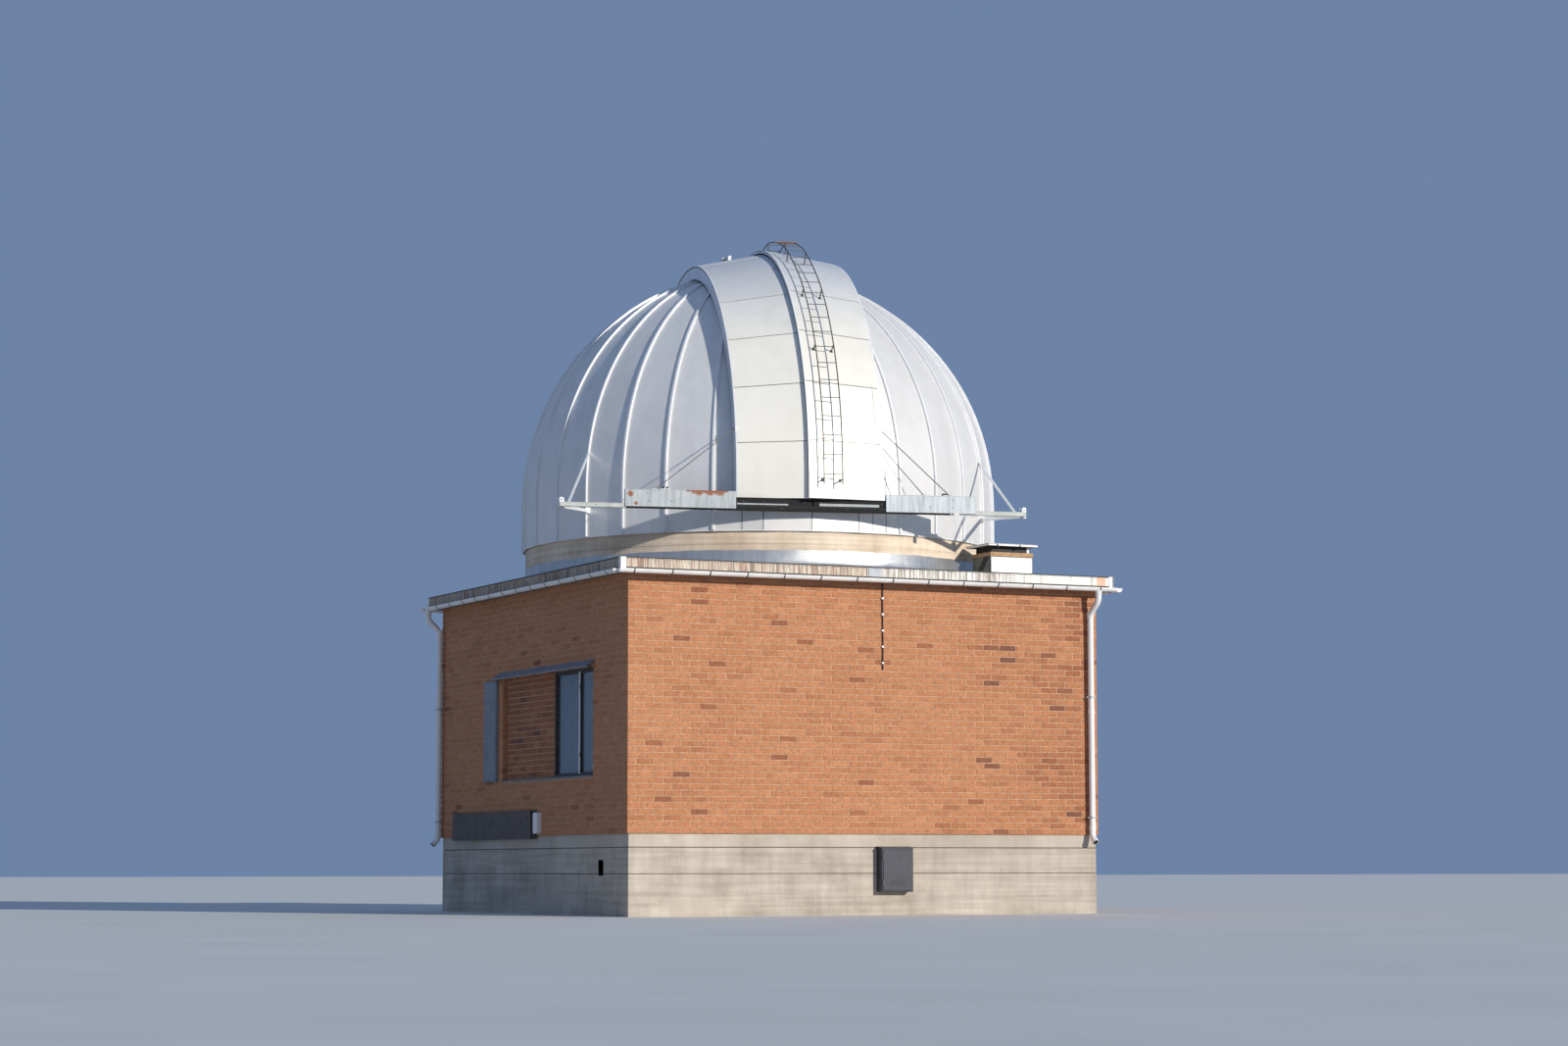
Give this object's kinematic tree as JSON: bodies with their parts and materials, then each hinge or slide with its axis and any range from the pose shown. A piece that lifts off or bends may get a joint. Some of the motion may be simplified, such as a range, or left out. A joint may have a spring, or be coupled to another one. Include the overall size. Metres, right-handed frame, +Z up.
{
  "type": "observatory dome building",
  "caption": "Square brick observatory on a concrete base, with a turning sheet-metal dome on a round concrete drum and two slit shutters that slide apart on rails.",
  "frame": {"origin": "centre of the bounding box in plan, at ground level under the concrete base", "axes": "+Z up; -Y out of the front, the plain brick side; -X out of the side with the window; the dome stands turned 13 degrees clockwise seen from above, so that its slit faces between the front and the left"},
  "size_m": [8.9067, 8.8903, 10.7324],
  "materials": {
    "base_concrete": "board-marked concrete, matt",
    "drum_concrete": "warm board-marked concrete, matt",
    "brick": "dark red brick in pale mortar, matt",
    "white_metal": "weathered white paint",
    "glass": "clear",
    "curtain_cloth": "pale woven curtain",
    "grey_paint": "dull grey paint",
    "roofing": "grey roofing felt, matt",
    "edge_metal": "weathered brown-grey paint",
    "navy_metal": "dark navy satin paint",
    "cable": "black sheath",
    "galvanised": "galvanised steel, dull",
    "dome_metal": "weathered bare sheet metal"
  },
  "bodies": {
    "building": {"base_front": "base_concrete", "base_back": "base_concrete", "base_left": "base_concrete", "base_right": "base_concrete", "floor_deck": "base_concrete", "wall_front": "brick", "wall_back": "brick", "wall_right": "brick", "wall_left_near": "brick", "wall_left_far": "brick", "wall_under_window": "brick", "wall_over_window": "brick", "window_pier": "brick", "window_frame": "white_metal", "gutter_front": "white_metal", "gutter_back": "white_metal", "gutter_left": "white_metal", "gutter_right": "white_metal", "downpipe_front": "white_metal", "downpipe_left": "white_metal", "roof_vent_box": "white_metal", "roof_vent_lid": "white_metal", "wall_box": "white_metal", "window_glass": "glass", "curtain": "curtain_cloth", "window_hood": "grey_paint", "window_sill": "grey_paint", "side_panel": "grey_paint", "foot_panel": "grey_paint", "roof_slab": "roofing", "roof_fascia": "edge_metal", "base_cabinet": "navy_metal", "wall_cable": "cable", "drum_front_right": "drum_concrete", "drum_back_right": "drum_concrete", "drum_back_left": "drum_concrete", "drum_front_left": "drum_concrete", "drum_flashing": "galvanised", "dome_track": "galvanised"},
    "dome": {"dome_base_ring": "galvanised", "dome_shell_left": "dome_metal", "dome_shell_right": "dome_metal", "dome_shell_rear": "dome_metal", "dome_panel_front": "dome_metal", "slit_arch_left": "galvanised", "slit_arch_right": "galvanised", "front_rail": "galvanised", "rear_rail": "galvanised", "rail_struts_left": "galvanised", "rail_struts_right": "galvanised"},
    "left_shutter": {"shutter_left_lower": "dome_metal", "shutter_left_upper": "dome_metal", "shutter_left_side": "dome_metal", "carriage_left": "galvanised", "rear_carriage_left": "galvanised"},
    "right_shutter": {"shutter_right": "dome_metal", "shutter_right_side": "dome_metal", "carriage_right": "galvanised", "rear_carriage_right": "galvanised", "ladder": "galvanised"}
  },
  "joints": [
    {"name": "dome_turn", "type": "hinge", "parent": "building", "child": "dome", "pos_m": [0.192, 0.184, 0], "axis": [0, 0, 1], "continuous": true},
    {"name": "left_shutter_slide", "type": "slide", "parent": "dome", "child": "left_shutter", "axis": [-0.9744, 0.225, 0], "range_m": [0, 0.88]},
    {"name": "right_shutter_slide", "type": "slide", "parent": "dome", "child": "right_shutter", "axis": [0.9744, -0.225, 0], "range_m": [0, 0.7]}
  ]
}
